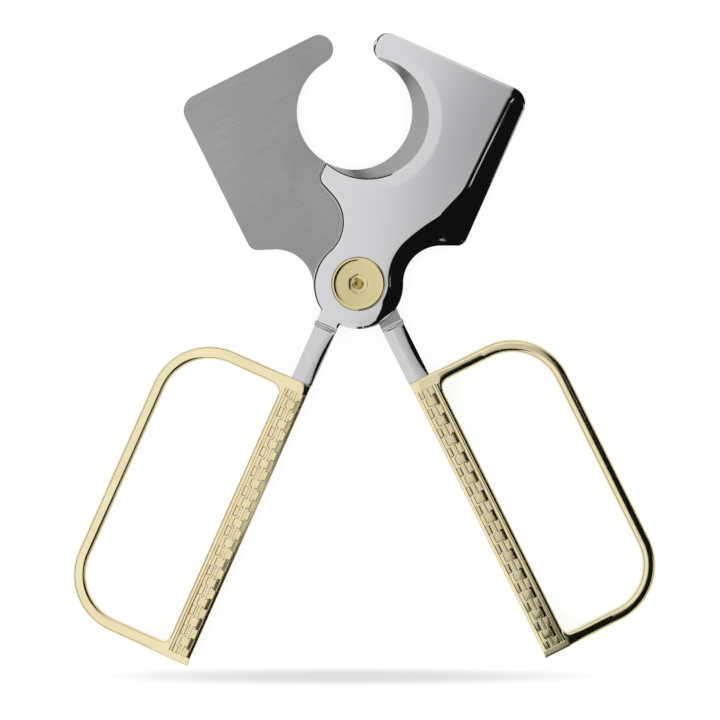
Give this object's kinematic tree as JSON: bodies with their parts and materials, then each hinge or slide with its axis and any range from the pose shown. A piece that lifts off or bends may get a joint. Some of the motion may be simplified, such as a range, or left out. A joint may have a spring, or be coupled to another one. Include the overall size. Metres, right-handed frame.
{
  "type": "scissor cutter",
  "caption": "Hand cutter with crossed blades that close a round notch, turning on a screwed pivot, with looped handles and woven-pattern bars.",
  "frame": {"origin": "on the pivot's axis, at the flat underside of the nut's head, on the plane that the cutter lies on", "axes": "+Z along the pivot's axis, up through the screw's head and the polished front blade; +Y from the pivot towards the cutting notch; the handles point to -Y"},
  "size_m": [0.1392, 0.1501, 0.0068],
  "materials": {
    "polished_steel": "mirror-polished stainless steel",
    "satin_steel": "satin stainless steel, ground in one direction",
    "gold_plate": "polished pale champagne-gold plating",
    "gold_weave": "pale gold plating on a stamped basket weave",
    "hidden_steel": "plain steel, inside the tool",
    "bronze": "plain bronze, inside the tool"
  },
  "bodies": {
    "front_half": {"front_blade": "polished_steel", "front_shank": "polished_steel", "left_tang_pin": "hidden_steel", "left_handle_bar": "gold_plate", "left_handle_bow": "gold_plate", "left_weave_front": "gold_weave", "left_weave_back": "gold_weave", "pivot_screw": "gold_plate", "pivot_spring_washer": "hidden_steel", "pivot_thrust_washer": "bronze", "pivot_barrel_nut": "gold_plate"},
    "rear_half": {"rear_blade": "satin_steel", "rear_shank": "polished_steel", "right_tang_pin": "hidden_steel", "right_handle_bar": "gold_plate", "right_handle_bow": "gold_plate", "right_weave_front": "gold_weave", "right_weave_back": "gold_weave"}
  },
  "joints": [
    {"name": "blade_pivot", "type": "hinge", "parent": "front_half", "child": "rear_half", "pos_m": [0, 0, 0.00342], "axis": [0, 0, -1], "range_deg": [-54, 50.5]}
  ]
}
